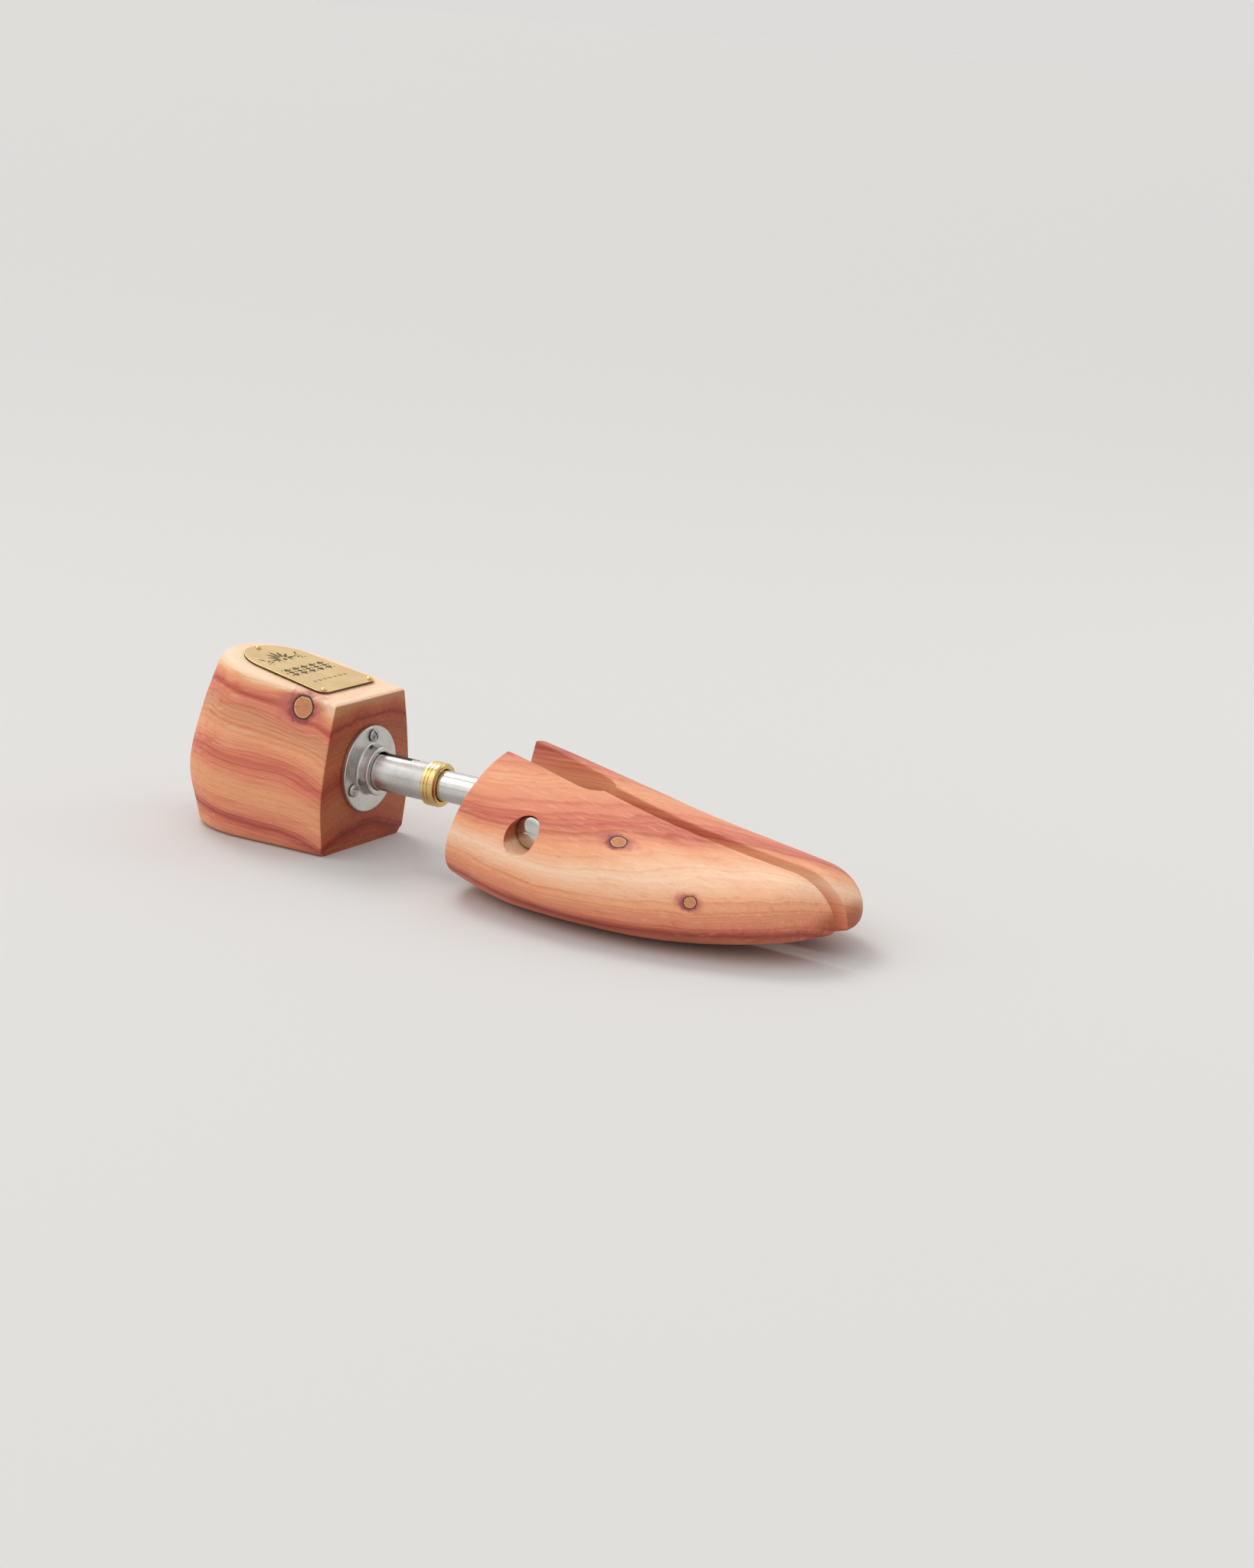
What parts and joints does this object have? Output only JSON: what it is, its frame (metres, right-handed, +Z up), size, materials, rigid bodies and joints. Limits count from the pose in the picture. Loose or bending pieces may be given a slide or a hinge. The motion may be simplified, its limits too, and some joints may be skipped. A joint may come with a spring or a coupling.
{
  "type": "shoe tree",
  "caption": "Right-foot cedar shoe tree: full heel block with a pinned brass plate, sprung telescoping tube, and a hinged forefoot split into two sprung halves.",
  "frame": {"origin": "under the middle of the tree's box, on the table it stands on", "axes": "+X from the heel to the toe, +Y to the inner side of a right foot, +Z up"},
  "size_m": [0.2839, 0.0943, 0.0698],
  "materials": {
    "cedar": "sanded, unvarnished red cedar with sapwood streaks and a knot",
    "plate_brass": "satin brass sheet with an engraved ornament",
    "pin_brass": "polished brass",
    "nickel": "bright nickel plating",
    "fastener_steel": "zinc-plated steel",
    "spring_steel": "bright spring wire"
  },
  "bodies": {
    "heel": {"heel_block": "cedar", "name_plate": "plate_brass", "plate_pin_rear": "pin_brass", "plate_pin_lateral": "pin_brass", "plate_pin_medial": "pin_brass", "outer_tube": "nickel", "tube_flange": "nickel", "flange_screw_1": "fastener_steel", "flange_screw_2": "fastener_steel", "flange_screw_3": "fastener_steel", "spring_seat": "fastener_steel", "tube_collar": "pin_brass", "tube_spring": "spring_steel"},
    "slider": {"inner_tube": "nickel", "inner_tube_plug": "fastener_steel", "stop_pin": "fastener_steel", "pivot_eye": "fastener_steel", "eye_rivet": "fastener_steel"},
    "pivot": {"pivot_bolt": "nickel", "pivot_nut": "nickel", "splay_spring_lateral": "spring_steel", "splay_spring_medial": "spring_steel", "toe_spring": "spring_steel"},
    "toe_lateral": {"toe_lateral": "cedar", "front_dowel": "fastener_steel", "toe_dowel": "fastener_steel"},
    "toe_medial": {"toe_medial": "cedar"}
  },
  "joints": [
    {"name": "tube_slide", "type": "slide", "parent": "heel", "child": "slider", "axis": [-1, 0, 0], "range_m": [0, 0.024], "stiffness_N_per_m": 550, "springref_m": -0.024, "deforming": ["tube_spring"]},
    {"name": "forefoot_hinge", "type": "hinge", "parent": "slider", "child": "pivot", "pos_m": [0.03, 0.00075, 0.031], "axis": [0, -1, 0], "range_deg": [-5, 20]},
    {"name": "lateral_splay", "type": "slide", "parent": "pivot", "child": "toe_lateral", "axis": [0, 1, 0], "range_m": [0, 0.0025], "stiffness_N_per_m": 2000, "springref_m": -0.003, "deforming": ["splay_spring_lateral", "toe_spring"]},
    {"name": "medial_splay", "type": "slide", "parent": "pivot", "child": "toe_medial", "axis": [0, -1, 0], "range_m": [0, 0.0025], "stiffness_N_per_m": 2000, "springref_m": -0.003, "deforming": ["splay_spring_medial"]}
  ],
  "couplings": [
    {"joint": "medial_splay", "follows": "lateral_splay", "ratio": 1}
  ]
}
